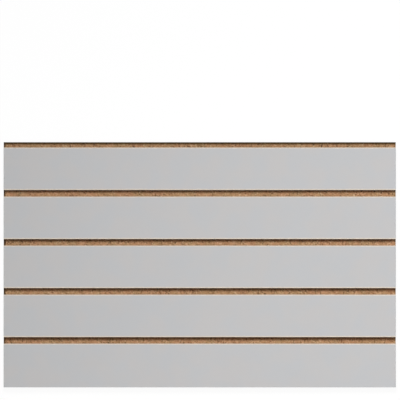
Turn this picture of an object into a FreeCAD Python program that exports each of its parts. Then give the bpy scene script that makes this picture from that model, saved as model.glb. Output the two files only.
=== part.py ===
import FreeCAD
import Part
import math
import os

# A slatwall panel: a sheet of wood particle board with a laminate face and T slots milled across it,
# which take display hooks and shelf brackets. It lies on its back with the laminate up.
# X runs along the slots, Y up the panel as it would hang, and Z from the back to the face.
# The origin is the middle of the back face. All sizes are in millimetres.

panel_length = 609.6  # along the slots, 24 in
slat_count = 5
slat_pitch = 76.2  # from slot to slot, 3 in
slot_opening = 10.0  # the gap between two slats, which sets the hooks that fit
channel_width = 23.8  # the wide part of the T slot, which runs on behind the slats, 15/16 in
web_thickness = 7.95  # what is left behind the slots
channel_depth = 4.75
lip_thickness = 5.55  # board over the channel, under the laminate
laminate_thickness = 0.8
joint_trim = 1.7  # the top tongue is this much lower and the bottom slat this much taller than a whole slot
cutter_radius = 0.8  # left by the corners of the T cutter
arris = 0.4  # sharp board edges are broken by this much
eased_edge = 0.45  # round on the laminate's upper edges

panel_height = slat_count * slat_pitch
core_thickness = web_thickness + channel_depth + lip_thickness
shoulder_height = web_thickness + channel_depth
lip_reach = (channel_width - slot_opening) / 2  # how far a lip overhangs its channel
bottom_edge = -panel_height / 2
top_edge = panel_height / 2


def slot_upper_edge(number):
    """Height of the upper edge of a slot opening. Slot 0 lies at the foot of the panel."""
    return bottom_edge + number * slat_pitch + joint_trim


def slat_face(number):
    """Lower and upper edge of a slat's face. Slat 0 is the lowest, and it covers the joint below."""
    lower = slot_upper_edge(number) if number else bottom_edge
    upper = slot_upper_edge(number + 1) - slot_opening
    return lower, upper


def slat_stem(number):
    """Lower and upper edge of the solid board between the channels on each side of a slat."""
    lower = slot_upper_edge(number) + lip_reach
    upper = slot_upper_edge(number + 1) - slot_opening - lip_reach
    return lower, upper


def slat_corners(number):
    """Section corners (y, z, radius) down one slat: upper channel wall, lips, face and lower wall."""
    face_lower, face_upper = slat_face(number)
    stem_lower, stem_upper = slat_stem(number)
    return [
        (stem_upper, web_thickness, cutter_radius),
        (stem_upper, shoulder_height, cutter_radius),
        (face_upper, shoulder_height, arris),
        (face_upper, core_thickness, 0),
        (face_lower, core_thickness, 0),
        (face_lower, shoulder_height, arris),
        (stem_lower, shoulder_height, cutter_radius),
        (stem_lower, web_thickness, cutter_radius),
    ]


def rounded_outline(corners):
    """A closed wire in the YZ plane through corners (y, z, radius), with tangent arcs of those radii."""
    points = [FreeCAD.Vector(0, y, z) for y, z, radius in corners]
    entries, exits, edges = [], [], []
    for index, (y, z, radius) in enumerate(corners):
        corner = points[index]
        back = (points[index - 1] - corner).normalize()
        ahead = (points[(index + 1) % len(points)] - corner).normalize()
        half_angle = back.getAngle(ahead) / 2
        setback = radius / math.tan(half_angle)
        entries.append(corner + back * setback)
        exits.append(corner + ahead * setback)
        if radius:
            bisector = (back + ahead).normalize()
            middle = corner + bisector * (radius / math.sin(half_angle) - radius)
            edges.append(Part.Arc(entries[-1], middle, exits[-1]).toShape())
    for index in range(len(points)):
        following = (index + 1) % len(points)
        edges.append(Part.LineSegment(exits[index], entries[following]).toShape())
    return Part.Wire(Part.__sortEdges__(edges))


def grooved_core():
    """The board as one extrusion of its section, with a tongue at the top and half a channel at the foot."""
    corners = [
        (bottom_edge, 0, arris),
        (top_edge, 0, arris),
        (top_edge, web_thickness, arris),
    ]
    for number in reversed(range(slat_count)):
        corners += slat_corners(number)
    corners.append((bottom_edge, web_thickness, arris))
    section = Part.Face(rounded_outline(corners))
    section.translate(FreeCAD.Vector(-panel_length / 2, 0, 0))
    return section.extrude(FreeCAD.Vector(panel_length, 0, 0))


def laminate_strip(number):
    """The laminate on one slat, with the edges of its upper face eased."""
    lower, upper = slat_face(number)
    corner = FreeCAD.Vector(-panel_length / 2, lower, core_thickness)
    strip = Part.makeBox(panel_length, upper - lower, laminate_thickness, corner)
    upper_face = max(strip.Faces, key=lambda face: face.CenterOfMass.z)
    return strip.makeFillet(eased_edge, upper_face.Edges)


def save(name, shape):
    if not shape.isValid() or shape.Volume <= 0:
        raise ValueError(name + " isn't a valid solid")
    shape.exportStep(os.path.join("parts", name + ".step"))


os.makedirs("parts", exist_ok=True)
save("grooved_core", grooved_core())
for number in range(slat_count):
    save("laminate_strip_" + str(number + 1), laminate_strip(number))
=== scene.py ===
import bpy
import bmesh
import math
import random
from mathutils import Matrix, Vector, kdtree, noise
from mathutils.geometry import delaunay_2d_cdt


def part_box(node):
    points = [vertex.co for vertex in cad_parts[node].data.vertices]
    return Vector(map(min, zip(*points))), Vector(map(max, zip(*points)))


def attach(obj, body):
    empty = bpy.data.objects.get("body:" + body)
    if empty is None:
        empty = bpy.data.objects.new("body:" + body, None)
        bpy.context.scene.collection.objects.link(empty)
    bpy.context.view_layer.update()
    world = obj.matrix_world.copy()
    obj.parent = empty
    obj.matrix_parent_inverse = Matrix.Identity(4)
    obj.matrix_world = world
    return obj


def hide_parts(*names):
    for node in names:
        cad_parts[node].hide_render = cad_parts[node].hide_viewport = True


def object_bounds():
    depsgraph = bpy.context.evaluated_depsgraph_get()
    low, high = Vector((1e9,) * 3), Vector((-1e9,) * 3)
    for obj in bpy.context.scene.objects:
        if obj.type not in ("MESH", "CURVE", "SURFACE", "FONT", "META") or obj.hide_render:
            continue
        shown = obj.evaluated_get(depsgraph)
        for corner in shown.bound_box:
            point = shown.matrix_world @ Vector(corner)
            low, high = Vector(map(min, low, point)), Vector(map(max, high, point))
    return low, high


# A slatwall panel lying on its back: a particle board with T slots milled across its grey laminate face.
# X runs along the slots, Y up the panel as it would hang, and Z from the back to the face. Metres.

mm = 0.001
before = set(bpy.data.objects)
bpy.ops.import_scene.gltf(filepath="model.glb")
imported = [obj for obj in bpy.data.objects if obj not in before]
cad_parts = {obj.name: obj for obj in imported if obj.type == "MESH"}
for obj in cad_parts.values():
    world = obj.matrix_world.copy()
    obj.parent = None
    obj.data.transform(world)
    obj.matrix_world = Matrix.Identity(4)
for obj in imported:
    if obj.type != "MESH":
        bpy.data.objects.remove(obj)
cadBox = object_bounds()
panelLow, panelHigh = cadBox
print("frame loaded", [round(v, 4) for v in panelLow], [round(v, 4) for v in panelHigh])


class Sock:
    # a node's socket that can be used in plain arithmetic, which adds Math nodes
    def __init__(self, finish, socket):
        self.finish = finish
        self.socket = socket

    def __add__(self, other):
        return self.finish.math("ADD", self, other)

    def __radd__(self, other):
        return self.finish.math("ADD", other, self)

    def __sub__(self, other):
        return self.finish.math("SUBTRACT", self, other)

    def __rsub__(self, other):
        return self.finish.math("SUBTRACT", other, self)

    def __mul__(self, other):
        return self.finish.math("MULTIPLY", self, other)

    def __rmul__(self, other):
        return self.finish.math("MULTIPLY", other, self)


class Finish:
    # a node tree that is filled one node at a time
    def __init__(self, tree):
        self.tree = tree
        self.tree.nodes.clear()

    def plug(self, sockets, key):
        if isinstance(key, int):
            return sockets[key]
        return next(s for s in sockets if key in (s.identifier, s.name))

    def add(self, kind, settings, sockets, out=0):
        node = self.tree.nodes.new(kind)
        for name, value in settings.items():
            if name == "stops":
                self.setStops(node.color_ramp, value)
            else:
                setattr(node, name, value)
        for name, value in sockets.items():
            target = self.plug(node.inputs, name)
            if isinstance(value, Sock):
                self.tree.links.new(value.socket, target)
            else:
                target.default_value = value
        return Sock(self, self.plug(node.outputs, out)) if len(node.outputs) else node

    def setStops(self, ramp, stops):
        while len(ramp.elements) < len(stops):
            ramp.elements.new(1.0)
        for element, (position, colour) in zip(ramp.elements, stops):
            element.position = position
            element.color = rgb(*colour)

    def math(self, operation, first, second):
        return self.add("ShaderNodeMath", {"operation": operation}, {0: first, 1: second})

    def channel(self, colour, name):
        return self.add("ShaderNodeSeparateColor", {}, {"Color": colour}, name)

    def axis(self, vector, name):
        return self.add("ShaderNodeSeparateXYZ", {}, {"Vector": vector}, name)

    def rise(self, value, low, high):
        # 0 below low, 1 above high and smooth between them
        return self.add(
            "ShaderNodeMapRange",
            {"interpolation_type": "SMOOTHSTEP"},
            {"Value": value, "From Min": low, "From Max": high},
        )

    def fall(self, value, low, high):
        # 1 below low and 0 above high
        return 1 - self.rise(value, low, high)

    def tint(self, mode, amount, under, over):
        return self.add(
            "ShaderNodeMix",
            {"data_type": "RGBA", "blend_type": mode},
            {"Factor_Float": amount, "A_Color": under, "B_Color": over},
            "Result_Color",
        )

    def grains(self, where, size, detail=2.0, out=0):
        # soft noise whose grains are about this large
        return self.add("ShaderNodeTexNoise", {}, {"Vector": where, "Scale": 1 / size, "Detail": detail}, out)

    def waver(self, where, size, reach, detail=2.0):
        # the same noise about zero, this far from its lowest to its highest
        return sway(self.grains(where, size, detail), reach)

    def lay(self, where, turn, size):
        # places measured in chips of this size, turned this way
        return self.add(
            "ShaderNodeMapping",
            {"vector_type": "TEXTURE"},
            {"Vector": where, "Rotation": turn, "Scale": size},
        )

    def cells(self, laid):
        # a colour picked at random for each chip
        return self.add("ShaderNodeTexVoronoi", {}, {"Vector": laid, "Scale": 1.0}, "Color")

    def surface(self, look, colour, roughness, height):
        bump = self.add(
            "ShaderNodeBump",
            {},
            {"Height": height, "Distance": look["reliefDepth"], "Strength": look["reliefStrength"]},
        )
        shader = self.add(
            "ShaderNodeBsdfPrincipled",
            {},
            {
                "Base Color": colour,
                "Roughness": roughness,
                "Normal": bump,
                "Specular IOR Level": look["gloss"],
            },
        )
        self.add("ShaderNodeOutputMaterial", {}, {"Surface": shader})


def sway(wave, reach):
    # noise that ran from 0 to 1, moved about zero
    return (wave - 0.5) * reach


def rgb(*levels):
    return (*levels, 1.0)


def grey(level):
    return rgb(level, level, level)


def newFinish(name):
    material = bpy.data.materials.new(name)
    material.use_nodes = True
    return material, Finish(material.node_tree)


# Particle board. The chips lie flat in the board, so they are wide in X and Y and thin in Z: the slots'
# floors show their faces, and the walls and ends show their edges. They are coarse in the middle of the
# board and fine near its faces.
boardLook = {
    # each layer of chips: (length, width, thickness), turn, and how many of them lie over the layer before
    "coarse": [
        ((5.0 * mm, 2.2 * mm, 0.9 * mm), 0.5, 1.0),
        ((7.0 * mm, 1.6 * mm, 0.8 * mm), 2.1, 0.45),
        ((6.0 * mm, 1.1 * mm, 0.6 * mm), -0.6, 0.4),
        ((3.2 * mm, 0.9 * mm, 0.5 * mm), 1.2, 0.35),
    ],
    "fine": [
        ((2.4 * mm, 1.1 * mm, 0.4 * mm), 0.2, 1.0),
        ((3.0 * mm, 0.7 * mm, 0.3 * mm), 1.7, 0.45),
        ((2.2 * mm, 0.5 * mm, 0.3 * mm), -0.8, 0.4),
    ],
    "chipLean": (0.08, -0.06),  # how far the chips tip out of the board's plane, in radians
    "chipBlend": 0.02,  # how softly a chip ends on the one below
    "chipGrain": (2.6 * mm, 0.26 * mm, 0.2 * mm),
    "warpSize": 2.2 * mm,  # the chips' outlines are bent by noise of this size and reach
    "warpReach": (0.8 * mm, 0.8 * mm, 0.2 * mm),
    "faceLayer": (1.8 * mm, 4.0 * mm),  # dense and fine to the first depth, coarse past the second
    "faceRagged": (5 * mm, 2.5 * mm),  # size and reach of the waver in those depths
    # a chip's brightness picks its colour, and its grain, dust and broad clouds shift that brightness
    "tones": [
        (0.03, (0.15, 0.085, 0.045)),  # bark
        (0.10, (0.413, 0.234, 0.119)),
        (0.50, (0.495, 0.290, 0.154)),
        (0.86, (0.567, 0.349, 0.197)),
        (0.95, (0.675, 0.466, 0.290)),  # sapwood
    ],
    "grainShade": 0.34,
    "dustSize": 0.5 * mm,
    "dustShade": 0.26,
    "cloudSize": 7 * mm,
    "cloudShade": 0.12,
    "redder": rgb(1.05, 0.96, 0.97),
    "yellower": rgb(0.96, 1.03, 0.98),
    "hueSize": 16 * mm,
    "hueBand": (0.35, 0.65),
    "hueShares": (0.6, 0.4),  # how much of the hue comes from the place, and how much from the chip
    # dark bark: (length, width, thickness), turn, and how much of the board it is
    "slivers": [
        ((5.5 * mm, 1.3 * mm, 0.9 * mm), 1.35, 0.013),
        ((4.2 * mm, 1.0 * mm, 0.7 * mm), -0.7, 0.006),
        ((3.0 * mm, 1.6 * mm, 0.9 * mm), 0.3, 0.006),
    ],
    "sliverLean": (-0.10, 0.07),
    "sliverBlend": 0.002,
    "sliverTone": rgb(0.46, 0.40, 0.36),
    "sliverInFaces": 0.2,  # how much of the bark is left in the fine layers
    # the seams round the chips, and the gaps where they don't quite meet, both darkened with painted shade
    "seamWidth": 0.09,  # as a share of a chip
    "seamShade": 0.22,
    "gapPatches": 3.2 * mm,
    "gapBand": (0.48, 0.64),
    "gapShade": 0.4,
    # the colour of the painted shade in the seams and gaps
    "seamShadeTone": rgb(0.36, 0.29, 0.23),
    # painted shadow and shade: full to the first distance and none past the second, on faces turned up or to
    # the head
    "tongueShadow": (1.8 * mm, 5.2 * mm),  # painted shadow from the tongue's edge, like the one each slat's lip casts on the slot floor below it
    "tongueFadingShade": (3.0 * mm, 15 * mm),  # its faint outer part, painted shade over the tongue's floor
    "slotEndShade": (2.2 * mm, 3.4 * mm),  # painted shade from each end of the slots, darker at the left end
    "shadeRagged": (2.5 * mm, 1.0 * mm),
    "shadeFacing": (0.35, 0.7),
    "shadeShares": {"edge": 0.78, "fadingShade": 0.2, "left": 0.86, "right": 0.2},
    "tongueShadeTone": rgb(0.10, 0.09, 0.03),  # what the painted shadow leaves of the board's colour
    # what the painted shade at the slots' ends leaves of the board's colour
    "endShadeTone": rgb(0.140, 0.14, 0.092),
    # how far each thing lifts the surface, and the seams and gaps sink it, as shares of the depth
    "relief": {"chip": 0.30, "fineChip": 0.12, "grain": 0.22, "dust": 0.12, "seam": 0.15, "gap": 0.9},
    "reliefDepth": 0.28 * mm,
    "reliefStrength": 0.8,
    "roughness": 0.86,
    "roughSway": 0.10,
    "gloss": 0.15,
}


def chipStack(f, where, layers):
    # Layers of chips, each turned its own way. The first result holds a chip's tone, lift and hue,
    # and the second how near its edge is and the grain along it.
    look = boardLook
    chips, marks = None, None
    for size, turn, share in layers:
        lying = (*look["chipLean"], turn)
        laid = f.lay(where, lying, size)
        cell = f.cells(laid)
        edge = f.add("ShaderNodeTexVoronoi", {"feature": "DISTANCE_TO_EDGE"}, {"Vector": laid, "Scale": 1.0})
        grain = f.grains(f.lay(where, lying, look["chipGrain"]), 1.0)
        mark = f.add("ShaderNodeCombineColor", {}, {"Red": edge, "Green": grain})
        if chips is None:
            chips, marks = cell, mark
            continue
        blend = look["chipBlend"]
        over = f.rise(f.channel(cell, "Green"), 1 - blend - share, 1 + blend - share)
        chips = f.tint("MIX", over, chips, cell)
        marks = f.tint("MIX", over, marks, mark)
    return chips, marks


def barkSlivers(f, where):
    look = boardLook
    bark = 0
    for size, turn, share in look["slivers"]:
        cell = f.cells(f.lay(where, (*look["sliverLean"], turn), size))
        picked = f.rise(f.channel(cell, "Blue"), 1 - share, 1 + look["sliverBlend"] - share)
        bark = f.math("MAXIMUM", bark, picked)
    return bark


def boardStains(f, place):
    # how far painted shade darkens the board: a painted shadow along the tongue's edge, and painted shade at
    # the ends of the slots
    look = boardLook
    shares = look["shadeShares"]
    x, y = f.axis(place, "X"), f.axis(place, "Y")
    normal = f.add("ShaderNodeNewGeometry", {}, {}, "Normal")
    onFloor = f.rise(f.axis(normal, "Z"), *look["shadeFacing"])  # the slots' floors and the tongue
    onEdge = f.rise(f.axis(normal, "Y"), *look["shadeFacing"])
    ragged = f.waver(place, *look["shadeRagged"])
    fromTop = (panelHigh.y - y) + ragged
    fromLeft = (x - panelLow.x) + ragged
    fromRight = (panelHigh.x - x) + ragged
    # painted shadow along the tongue, as a lip above it would cast, and its faint outer part
    fadingShade = f.fall(fromTop, *look["tongueFadingShade"]) * shares["fadingShade"]
    edge = (fadingShade + f.fall(fromTop, *look["tongueShadow"]) * shares["edge"]) * (onFloor + onEdge)
    # painted shade at each end of the slots' floors, strongest at the left
    left = f.fall(fromLeft, *look["slotEndShade"]) * onFloor * shares["left"]
    right = f.fall(fromRight, *look["slotEndShade"]) * onFloor * shares["right"]
    return edge, f.math("MAXIMUM", left, right) * (1 - edge)


def fromFaces(f, place):
    # 0 in the fine layers at the board's faces and 1 in its coarse middle
    z = f.axis(place, "Z")
    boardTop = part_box(core["node"])[1].z
    depth = f.math("MINIMUM", z, boardTop - z)
    return f.rise(depth + f.waver(place, *boardLook["faceRagged"]), *boardLook["faceLayer"])


def boardFinish():
    look = boardLook
    material, f = newFinish("particleBoard")
    place = f.add("ShaderNodeTexCoord", {}, {}, "Object")
    wander = f.grains(place, look["warpSize"], 3.0, "Color")
    where = f.add(
        "ShaderNodeVectorMath",
        {"operation": "MULTIPLY_ADD"},
        {0: wander, 1: look["warpReach"], 2: place},
    )
    inside = fromFaces(f, place)
    coarseChips, coarseMarks = chipStack(f, where, look["coarse"])
    fineChips, fineMarks = chipStack(f, where, look["fine"])
    chips = f.tint("MIX", inside, fineChips, coarseChips)
    marks = f.tint("MIX", inside, fineMarks, coarseMarks)
    tone, lift, hue = [f.channel(chips, name) for name in ("Red", "Green", "Blue")]
    edge, grain = [f.channel(marks, name) for name in ("Red", "Green")]
    dust = f.grains(place, look["dustSize"])
    cloud = f.grains(place, look["cloudSize"])
    shade = tone + sway(grain, look["grainShade"]) + sway(dust, look["dustShade"])
    shade = shade + sway(cloud, look["cloudShade"])
    colour = f.add("ShaderNodeValToRGB", {"stops": look["tones"]}, {"Fac": shade}, "Color")

    fromPlace, fromChip = look["hueShares"]
    drift = f.rise(f.grains(place, look["hueSize"]), *look["hueBand"]) * fromPlace + hue * fromChip
    colour = f.tint("MULTIPLY", 1.0, colour, f.tint("MIX", drift, look["redder"], look["yellower"]))
    inFaces = look["sliverInFaces"]
    bark = barkSlivers(f, where) * (inside * (1 - inFaces) + inFaces)
    colour = f.tint("MULTIPLY", bark, colour, look["sliverTone"])
    seam = f.fall(edge, 0.0, look["seamWidth"])
    gaps = seam * f.rise(f.grains(place, look["gapPatches"]), *look["gapBand"]) * inside
    # painted contact shadow in the seams and painted shade in the gaps
    seamAndGapShade = seam * look["seamShade"] + gaps * look["gapShade"]
    colour = f.tint("MULTIPLY", seamAndGapShade, colour, look["seamShadeTone"])
    # painted shadow along the tongue and painted shade at the slots' ends
    tongueShadow, slotEndShade = boardStains(f, place)
    colour = f.tint("MULTIPLY", tongueShadow, colour, look["tongueShadeTone"])
    colour = f.tint("MULTIPLY", slotEndShade, colour, look["endShadeTone"])

    relief = look["relief"]
    height = lift * (inside * relief["chip"] + relief["fineChip"]) + grain * relief["grain"]
    height = height + dust * relief["dust"] - seam * relief["seam"] - gaps * relief["gap"]
    rough = look["roughness"] + sway(tone, look["roughSway"]) + sway(dust, look["roughSway"])
    f.surface(look, colour, rough, height)
    return material


# Laminate: a satin grey face with a fine pebble, and a pale line along the slots' edges, partly where the
# cutter bared the laminate's edge and partly a painted highlight along those edges.
laminateLook = {
    "cool": rgb(0.474, 0.479, 0.490),
    "warm": rgb(0.490, 0.480, 0.479),
    "hueSize": 30 * mm,
    "hueBand": (0.3, 0.7),
    "cloudSize": 45 * mm,
    "cloudShade": 0.03,
    "speckSize": 0.5 * mm,
    "speckShade": 0.05,
    # the pale line along the routed edges: partly the laminate's bared edge, partly a painted highlight
    "paleBaredHighlight": rgb(0.76, 0.68, 0.58),
    "darkBaredHighlight": rgb(0.64, 0.55, 0.45),
    "baredHighlightWidth": (1.25 * mm, 1.75 * mm),
    "baredHighlightBends": (4 * mm, 1.0 * mm),  # size and reach of the line's long bends
    "baredHighlightNicks": (0.9 * mm, 0.7 * mm),
    "baredHighlightShare": 0.9,
    "fibreSize": 0.7 * mm,
    "fibreBand": (0.35, 0.65),
    "glue": rgb(0.30, 0.19, 0.11),
    "glueHeight": (0.05 * mm, 0.22 * mm),  # over the board
    "glueShare": 0.8,
    "pebbleSize": 0.9 * mm,
    "relief": {"pebble": 0.7, "speck": 0.3},
    "reliefDepth": 0.08 * mm,
    "reliefStrength": 1.0,
    "roughness": 0.46,
    "roughSway": 0.10,
    "baredRougher": 0.2,
    "gloss": 0.4,
}


def laminateFinish():
    look = laminateLook
    material, f = newFinish("greyLaminate")
    place = f.add("ShaderNodeTexCoord", {}, {}, "Object")
    hue = f.rise(f.grains(place, look["hueSize"], 1.0), *look["hueBand"])
    colour = f.tint("MIX", hue, look["cool"], look["warm"])
    cloud = f.grains(place, look["cloudSize"])
    speck = f.grains(place, look["speckSize"])
    shade = 1 + sway(cloud, look["cloudShade"]) + sway(speck, look["speckShade"])
    colour = f.add("ShaderNodeVectorMath", {"operation": "SCALE"}, {0: colour, "Scale": shade})

    fromEdge = f.add("ShaderNodeAttribute", {"attribute_name": "fromEdge"}, {}, "Fac")
    ragged = f.waver(place, *look["baredHighlightBends"], 3.0) + f.waver(place, *look["baredHighlightNicks"])
    # the pale line: partly bared laminate, partly a painted highlight
    baredAndHighlit = f.fall(fromEdge + ragged, *look["baredHighlightWidth"])
    fibres = f.rise(f.grains(place, look["fibreSize"], 3.0), *look["fibreBand"])
    pale = f.tint("MIX", fibres, look["darkBaredHighlight"], look["paleBaredHighlight"])
    colour = f.tint("MIX", baredAndHighlit * look["baredHighlightShare"], colour, pale)
    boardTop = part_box(stripNames[0])[0].z
    glue = f.fall(f.axis(place, "Z"), *(boardTop + height for height in look["glueHeight"]))
    colour = f.tint("MIX", glue * look["glueShare"], colour, look["glue"])

    relief = look["relief"]
    height = f.grains(place, look["pebbleSize"]) * relief["pebble"] + speck * relief["speck"]
    rough = look["roughness"] + sway(cloud, look["roughSway"]) + sway(speck, look["roughSway"])
    rough = rough + baredAndHighlit * look["baredRougher"]
    f.surface(look, colour, rough, height)
    return material


sharpAngle = math.radians(35)  # edges that turn further than this stay sharp


def newPiece(name, points, faces, finish):
    mesh = bpy.data.meshes.new(name)
    mesh.from_pydata(points, [], faces)
    mesh.validate()
    work = bmesh.new()
    work.from_mesh(mesh)
    bmesh.ops.recalc_face_normals(work, faces=work.faces)
    work.to_mesh(mesh)
    work.free()
    mesh.shade_smooth()
    mesh.set_sharp_from_angle(angle=sharpAngle)
    mesh.materials.append(finish)
    piece = bpy.data.objects.new(name, mesh)
    bpy.context.scene.collection.objects.link(piece)
    return piece


# The grooved board: its section is the CAD node's own, drawn out along X again with enough points for the
# torn chips and pits that a router leaves in particle board. Rows that show through a slot have a point at
# every ring, and the others only at some.
core = {
    "node": "grooved_core",
    "decimals": 7,  # corners of the section that agree to so many decimals are one
    "atEnd": 0.001 * mm,  # a point this near the end lies on it
    "straight": 1.0 * mm,  # a section edge longer than this is a straight run, and shorter ones make up arcs
    "arcStep": 0.5 * mm,
    "openStep": 1.25 * mm,  # on what shows through the slots
    "hiddenStep": 2.7 * mm,  # behind the lips
    "backStep": 30 * mm,
    "showing": 1.3 * mm,  # how far past a slot's edges the fine rows go
    "nearFace": 1.0 * mm,  # a level run this near the back or the top lies on it
    "nearCorner": 0.04,  # a run isn't cut nearer its ends than this share of it
    "alongStep": 1.35 * mm,
    "endSteps": (0.5 * mm, 1.2 * mm),  # closer rings beside each sawn end
    "sparse": 3,  # rings from point to point on the rows that don't show
    "skin": 0.06 * mm,  # how rough the milled faces are
    "skinGrains": 0.9 * mm,
    # chips torn out: their depth, their size, the level of noise that they start from and the noise's shift
    "pits": (0.6 * mm, 2.2 * mm, 0.36, (0, 0, 0)),
    "tears": (0.5 * mm, 2.8 * mm, 0.2, (7, 3, 5)),  # on the arrises
    "sawnPits": (0.6 * mm, 2.4 * mm, 0.2, (1, 8, 2)),
    "glued": 0.01 * mm,  # the board's top stays whole under the laminate
    "sawnStep": 1.4 * mm,
    "sawnScatter": 0.3,  # in steps
    "sawnClear": 0.5,
    "sawnGrains": 1.2 * mm,
    "sawnDense": 2 * mm,  # the faces' layers aren't pitted
    "sawnSeeds": (11, 12),
}
stripNames = ["laminate_strip_" + str(number) for number in range(1, 6)]


def slotOpenings():
    # (lower, upper) Y of each gap between the slats' faces, with the open ones past the foot and the head
    boxes = [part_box(name) for name in stripNames]
    lower = [panelLow.y - 1] + [high.y for _, high in boxes]
    upper = [low.y for low, _ in boxes] + [panelHigh.y + 1]
    return list(zip(lower, upper))


def endOutline(node):
    # the node's section at its low X end, as (y, z) points in order
    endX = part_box(node)[0].x + core["atEnd"]
    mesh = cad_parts[node].data
    decimals = core["decimals"]
    spots = {}
    for vertex in mesh.vertices:
        if vertex.co.x < endX:
            spots[vertex.index] = (round(vertex.co.y, decimals), round(vertex.co.z, decimals))
    sides = {}
    for face in mesh.polygons:
        if all(index in spots for index in face.vertices):
            for a, b in face.edge_keys:
                side = frozenset((spots[a], spots[b]))
                sides[side] = sides.get(side, 0) + 1
    beside = {}
    for side, uses in sides.items():
        if uses == 1:
            a, b = side
            beside.setdefault(a, []).append(b)
            beside.setdefault(b, []).append(a)
    outline = [min(beside)]
    came = None
    while True:
        here = outline[-1]
        ahead = next(p for p in beside[here] if p != came)
        if ahead == outline[0]:
            return outline
        came = here
        outline.append(ahead)


def distance(a, b):
    return math.hypot(a[0] - b[0], a[1] - b[1])


def between(a, b, share):
    return a[0] + (b[0] - a[0]) * share, a[1] + (b[1] - a[1]) * share


def shows(spot, openings):
    y, z = spot[:2]
    reach = core["showing"]
    return z > core["nearFace"] and any(low - reach <= y <= high + reach for low, high in openings)


def runPoints(start, end, openings, boardTop):
    # a straight run of the section, divided finely where a slot shows it
    level = abs(start[1] - end[1]) < abs(start[0] - end[0])
    if level and start[1] > boardTop - core["nearFace"]:
        return [start]  # under the laminate
    length = distance(start, end)
    if level and start[1] < core["nearFace"]:
        pieces = math.ceil(length / core["backStep"])
        return [between(start, end, k / pieces) for k in range(pieces)]
    cuts = {0.0, 1.0}
    if level:
        margins = [y for low, high in openings for y in (low - core["showing"], high + core["showing"])]
        shares = [(y - start[0]) / (end[0] - start[0]) for y in margins]
        cuts |= {share for share in shares if core["nearCorner"] < share < 1 - core["nearCorner"]}
    cuts = sorted(cuts)
    points = []
    for a, b in zip(cuts, cuts[1:]):
        middle = between(start, end, (a + b) / 2)
        step = core["openStep"] if shows(middle, openings) or not level else core["hiddenStep"]
        pieces = math.ceil(length * (b - a) / step)
        points += [between(start, end, a + (b - a) * k / pieces) for k in range(pieces)]
    return points


def sectionPoints(outline, openings, boardTop):
    # the outline as (y, z, on an arris), with its arcs thinned out and its straight runs divided
    count = len(outline)
    runs = [i for i in range(count) if distance(outline[i], outline[(i + 1) % count]) > core["straight"]]
    points = []
    for position, i in enumerate(runs):
        end = (i + 1) % count
        spots = runPoints(outline[i], outline[end], openings, boardTop)
        points += [(*spot, k == 0) for k, spot in enumerate(spots)]
        facets = (runs[(position + 1) % len(runs)] - end) % count
        if facets:
            facet = distance(outline[end], outline[(end + 1) % count])
            steps = max(1, round(facets * facet / core["arcStep"]))
            points += [(*outline[(end + round(facets * k / steps)) % count], True) for k in range(steps)]
    return points


def heading(a, b):
    return Vector((b[0] - a[0], b[1] - a[1])).normalized()


def outwardNormals(points):
    count = len(points)
    area = sum(points[i - 1][0] * points[i][1] - points[i][0] * points[i - 1][1] for i in range(count))
    turn = math.copysign(1, area)
    normals = []
    for i in range(count):
        along = heading(points[i - 1], points[i]) + heading(points[i], points[(i + 1) % count])
        normals.append(Vector((along.y, -along.x)).normalized() * turn)
    return normals


def roughDepth(place, grains):
    return core["skin"] * (1 + noise.noise(place / grains))


def tornDepth(place, depth, size, start, shift):
    return depth * max(0, noise.noise(place / size + Vector(shift)) - start)


def milledDepth(place, arris):
    # how far the milled face lies behind the true one at this place
    depth = roughDepth(place, core["skinGrains"]) + tornDepth(place, *core["pits"])
    if arris:
        depth += tornDepth(place, *core["tears"])
    return depth


def ringPlaces(low, high):
    inner = high - low - 2 * core["endSteps"][-1]
    steps = core["sparse"] * math.ceil(inner / core["alongStep"] / core["sparse"])
    first = [low, *(low + s for s in core["endSteps"])]
    middle = [first[-1] + inner * k / steps for k in range(1, steps)]
    return first + middle + [high - s for s in reversed(core["endSteps"])] + [high]


def buildCore(finish):
    low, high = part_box(core["node"])
    openings = slotOpenings()
    section = sectionPoints(endOutline(core["node"]), openings, high.z)
    normals = outwardNormals(section)
    every = [1 if shows(spot, openings) else core["sparse"] for spot in section]
    rings = ringPlaces(low.x, high.x)
    last = len(rings) - 1
    points, index = [], {}
    for ring, x in enumerate(rings):
        sawn = ring in (0, last)
        for row, ((y, z, arris), normal) in enumerate(zip(section, normals)):
            if ring % every[row] and not sawn:
                continue
            glued = z >= high.z - core["glued"]
            depth = 0 if glued else milledDepth(Vector((x, y, z)), arris or sawn)
            index[ring, row] = len(points)
            points.append(Vector((x, y - normal.x * depth, z - normal.y * depth)))
    faces = []
    for row in range(len(section)):
        after = (row + 1) % len(section)
        wide = max(every[row], every[after])
        for start in range(0, last, wide):
            stop = min(start + wide, last)
            near = [index[ring, row] for ring in range(start, stop + 1) if (ring, row) in index]
            far = [index[ring, after] for ring in range(start, stop + 1) if (ring, after) in index]
            faces.append(near + far[::-1])
    for ring, inward, seed in zip((0, last), (1, -1), core["sawnSeeds"]):
        rim = [index[ring, row] for row in range(len(section))]
        sawnPoints, sawnFaces = sawnEnd([points[i] for i in rim], inward, seed)
        numbers = rim + list(range(len(points), len(points) + len(sawnPoints)))
        points += sawnPoints
        faces += [[numbers[i] for i in face] for face in sawnFaces]
    board = newPiece("grooved_board", points, faces, finish)
    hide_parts(core["node"])
    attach(board, "root")
    print("board", len(section), "rows", sum(len(face) - 2 for face in faces), "triangles")


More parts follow.
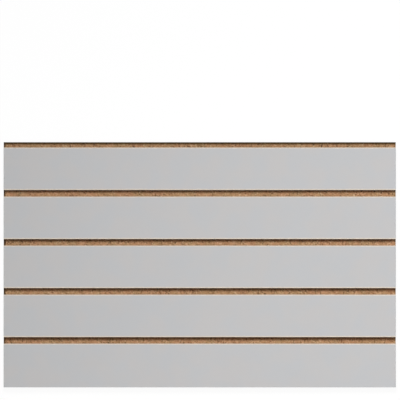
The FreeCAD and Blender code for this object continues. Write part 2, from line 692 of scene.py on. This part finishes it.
def sawnSpots(rim, seed):
    # scattered places inside an end ring, as (y, z), none of them close to the ring
    near = kdtree.KDTree(len(rim))
    for number, point in enumerate(rim):
        near.insert(point, number)
    near.balance()
    lowY, highY = min(p.y for p in rim), max(p.y for p in rim)
    lowZ, highZ = min(p.z for p in rim), max(p.z for p in rim)
    step, scatter = core["sawnStep"], core["sawnScatter"]
    dice = random.Random(seed)
    spots = []
    for row in range(1, int((highZ - lowZ) / step) + 1):
        for column in range(1, int((highY - lowY) / step)):
            y = lowY + (column + scatter * dice.uniform(-1, 1) + 0.5 * (row % 2)) * step
            z = lowZ + (row + scatter * dice.uniform(-1, 1)) * step
            if near.find(Vector((rim[0].x, y, z)))[2] > core["sawnClear"] * step:
                spots.append(Vector((y, z)))
    return spots


def sawnEnd(rim, inward, seed):
    # fills an end ring with small triangles, whose points are pitted between the chips
    highZ = max(p.z for p in rim)
    dense = core["sawnDense"]
    flat = [Vector((p.y, p.z)) / mm for p in rim] + [spot / mm for spot in sawnSpots(rim, seed)]
    ringEdges = [(k, (k + 1) % len(rim)) for k in range(len(rim))]
    onlyInside, tolerance = 1, 1e-5
    found, _, faces, origins, _, _ = delaunay_2d_cdt(flat, ringEdges, [], onlyInside, tolerance)
    sawnPoints, numbers = [], {}
    for face in faces:
        for spot in face:
            if spot in numbers:
                continue
            if min(origins[spot]) < len(rim):
                numbers[spot] = min(origins[spot])
                continue
            numbers[spot] = len(rim) + len(sawnPoints)
            y, z = found[spot] * mm
            place = Vector((rim[0].x, y, z))
            coarse = min(1, max(0, (min(z, highZ - z) - dense) / dense))
            depth = roughDepth(place, core["sawnGrains"]) + tornDepth(place, *core["sawnPits"]) * coarse
            sawnPoints.append(Vector((rim[0].x + inward * depth, y, z)))
    return sawnPoints, [[numbers[spot] for spot in face] for face in faces]


# The laminate strips, with eased upper edges and small chips along the routed ones.
strip = {
    "round": 0.45 * mm,
    "alongStep": 0.9 * mm,
    # how far from an edge the face has points
    "offsets": (0.06 * mm, 0.16 * mm, 0.30 * mm, 0.45 * mm, 0.8 * mm, 1.3 * mm, 2.2 * mm, 6 * mm, 16 * mm),
    "eased": 4,  # so many of them follow the eased edge, and stand at the ends too
    "seed": 40,
    "chipsPerEdge": 26,
    "chipHalf": (0.9 * mm, 3.2 * mm),
    "chipLeast": 0.5 * mm,
    "chipDepth": (0.06 * mm, 0.26 * mm),
    "chipReach": 0.9 * mm,
    "chipDrop": 0.4,  # how far a chip lowers the face, as a share of its depth
    "chipBares": 1.5,  # how far it widens the bared line
    "waver": 0.03 * mm,
    "waverSize": 3 * mm,
    "waverApart": 9,  # keeps each strip's waver its own
    "footShare": 0.78,  # what a distance from a slat's lower edge counts for, so its pale line, partly painted highlight, is wider there to lighten that edge, which faces away from the light
    "notBared": 1.0,  # the distance from a routed edge that is given where there is none
}


def easedDrop(offset):
    # how far the eased edge has fallen, this far in from the side
    radius = strip["round"]
    if offset >= radius:
        return 0
    return radius - math.sqrt(radius ** 2 - (radius - offset) ** 2)


def edgeChips(dice, low, high):
    # (centre, half length, depth) of each chip along one edge
    chips = []
    for _ in range(strip["chipsPerEdge"]):
        half = dice.uniform(*strip["chipHalf"]) * dice.random()
        chips.append((dice.uniform(low, high), half + strip["chipLeast"], dice.uniform(*strip["chipDepth"])))
    return chips


def chipAt(chips, x):
    return max([depth * max(0, 1 - ((x - centre) / half) ** 2) for centre, half, depth in chips])


def stripRings(low, high):
    ends = (0, *strip["offsets"][:strip["eased"]])
    inner = high - low - 2 * ends[-1]
    steps = math.ceil(inner / strip["alongStep"])
    middle = [low + ends[-1] + inner * k / steps for k in range(1, steps)]
    return [low + e for e in ends] + middle + [high - e for e in reversed(ends)]


def tubeFaces(rings, around):
    # the sides of a tube whose rings have this many points each, and its two ends
    faces = []
    for ring in range(rings - 1):
        here, ahead = ring * around, (ring + 1) * around
        for k in range(around):
            after = (k + 1) % around
            faces.append((here + k, here + after, ahead + after, ahead + k))
    faces.append(tuple(range(around)))
    faces.append(tuple(reversed(range((rings - 1) * around, rings * around))))
    return faces


def buildStrip(number, finish):
    node = stripNames[number - 1]
    low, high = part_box(node)
    dice = random.Random(strip["seed"] + number)
    lowChips = edgeChips(dice, low.x, high.x)
    highChips = edgeChips(dice, low.x, high.x)
    routedLow = number > 1  # the foot of the panel is sawn, not routed
    rings = stripRings(low.x, high.x)
    offsets = (0, *strip["offsets"])
    middle = (high.y - low.y) / 2
    across = [(o, 1) for o in offsets] + [(middle, 0)] + [(o, -1) for o in reversed(offsets)]
    points, fromEdge = [], []
    for x in rings:
        endDrop = easedDrop(min(x - low.x, high.x - x))
        along = Vector((x / strip["waverSize"], number * strip["waverApart"], 0))
        waver = noise.noise(along) * strip["waver"] + strip["waver"]
        lowTorn = chipAt(lowChips, x) + waver if routedLow else 0
        highTorn = chipAt(highChips, x) + waver
        points.append(Vector((x, low.y, low.z)))
        fromEdge.append(0 if routedLow else strip["notBared"])
        for offset, side in across:
            torn = lowTorn if side > 0 else highTorn
            torn *= max(0, 1 - offset / strip["chipReach"]) ** 2
            y = low.y + offset + torn if side >= 0 else high.y - offset - torn
            if side == 0:
                y = (low.y + high.y) / 2
            drop = max(endDrop, easedDrop(offset)) + strip["chipDrop"] * torn
            points.append(Vector((x, y, high.z - drop)))
            widened = offset * strip["footShare"] if side > 0 else offset
            baredAndHighlit = side < 0 or routedLow
            fromEdge.append(widened - strip["chipBares"] * torn if baredAndHighlit else strip["notBared"])
        points.append(Vector((x, high.y, low.z)))
        fromEdge.append(0)
    faces = tubeFaces(len(rings), len(across) + 2)
    piece = newPiece("laminate_" + str(number), points, faces, finish)
    edge = piece.data.attributes.new("fromEdge", "FLOAT", "POINT")
    edge.data.foreach_set("value", fromEdge)
    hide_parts(node)
    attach(piece, "root")
    print("strip", number, len(faces), "faces")


# Camera: a long lens straight above, framed by where the panel lies in the photograph.
view = {
    # in the photograph's pixels; the top and bottom stand 0.12 higher than they measure, which evens out how
    # much a render lightens the first and last rows
    "photoSide": 400,
    "panelLeft": 3.6,
    "panelRight": 395.8,
    "panelTop": 142.15,
    "panelBottom": 387.31,
    "height": 20.0,  # over the face; from over 25, the views from other sides would be cut off
    "sensor": 36.0,
}


def placeCamera():
    pixel = (panelHigh.x - panelLow.x) / (view["panelRight"] - view["panelLeft"])
    middle = (panelLow + panelHigh) / 2
    halfPhoto = view["photoSide"] / 2
    x = middle.x + (halfPhoto - (view["panelLeft"] + view["panelRight"]) / 2) * pixel
    y = middle.y + ((view["panelTop"] + view["panelBottom"]) / 2 - halfPhoto) * pixel
    data = bpy.data.cameras.new("camera")
    data.sensor_width = view["sensor"]
    data.lens = view["sensor"] * view["height"] / (view["photoSide"] * pixel)
    camera = bpy.data.objects.new("camera", data)
    camera.location = (x, y, panelHigh.z + view["height"])
    bpy.context.scene.collection.objects.link(camera)
    bpy.context.scene.camera = camera
    print("camera", round(data.lens), "mm lens")


# Light: an even room and one broad softbox with a grid, above the panel's head. It is aimed past the panel's
# foot and right end, so its light falls off a little to the left, as in the photograph.
light = {
    "room": 0.28,  # 1 is white
    "power": 57.5,  # watts
    "lean": 21.7,  # degrees from upright, towards the panel's head
    "away": 3.0,
    "side": 0.95,
    "spread": 120,  # degrees that the grid lets through
    "aim": (1.7, -2.45, 0.0),
}


def seenStraight(f):
    # 1 for what the camera sees directly, in a gloss or through glass
    kinds = ("Is Camera Ray", "Is Glossy Ray", "Is Transmission Ray")
    camera, glossy, through = [f.add("ShaderNodeLightPath", {}, {}, kind) for kind in kinds]
    return f.math("MINIMUM", camera + glossy + through, 1.0)


def placeLights():
    world = bpy.data.worlds.new("room")
    world.use_nodes = True
    bpy.context.scene.world = world
    f = Finish(world.node_tree)
    strength = light["room"] + seenStraight(f) * (1 - light["room"])
    sky = f.add("ShaderNodeBackground", {}, {"Color": grey(1), "Strength": strength})
    f.add("ShaderNodeOutputWorld", {}, {"Surface": sky})

    softbox = bpy.data.lights.new("softbox", "AREA")
    softbox.energy = light["power"]
    softbox.size = light["side"]
    softbox.spread = math.radians(light["spread"])
    lean = math.radians(light["lean"])
    place = Vector((0, math.sin(lean), math.cos(lean))) * light["away"]
    lamp = bpy.data.objects.new("softbox", softbox)
    lamp.location = place
    lamp.rotation_euler = (Vector(light["aim"]) - place).to_track_quat("-Z", "Y").to_euler()
    lamp.visible_camera = False
    bpy.context.scene.collection.objects.link(lamp)
    print("lights", light["power"], "W softbox")


# The floor is white as seen, and keeps a faint shadow of the panel.
floor = {
    "half": 9.0,
    "glow": 0.945,  # as the camera sees it, whatever the light
    "shadowed": 0.06,  # the share of it that the light adds, so that the shadow shows
    "bounce": 0.80,  # its colour as the panel sees it
}


def placeFloor():
    half = floor["half"]
    corners = [(-half, -half, 0), (half, -half, 0), (half, half, 0), (-half, half, 0)]
    mesh = bpy.data.meshes.new("floor")
    mesh.from_pydata(corners, [], [(0, 1, 2, 3)])
    material, f = newFinish("paleFloor")
    bounce = f.add("ShaderNodeBsdfDiffuse", {}, {"Color": grey(floor["bounce"])})
    shadow = f.add("ShaderNodeBsdfDiffuse", {}, {"Color": grey(floor["shadowed"])})
    glow = f.add("ShaderNodeEmission", {}, {"Color": grey(1), "Strength": floor["glow"]})
    shown = f.add("ShaderNodeAddShader", {}, {0: glow, 1: shadow})
    mixed = f.add("ShaderNodeMixShader", {}, {0: seenStraight(f), 1: bounce, 2: shown})
    f.add("ShaderNodeOutputMaterial", {}, {"Surface": mixed})
    mesh.materials.append(material)
    ground = bpy.data.objects.new("floor", mesh)
    bpy.context.scene.collection.objects.link(ground)
    print("floor", 2 * half, "m wide")


buildCore(boardFinish())
greyFace = laminateFinish()
for number in range(1, len(stripNames) + 1):
    buildStrip(number, greyFace)
placeCamera()
placeLights()
placeFloor()
bpy.context.scene.view_settings.view_transform = "Standard"
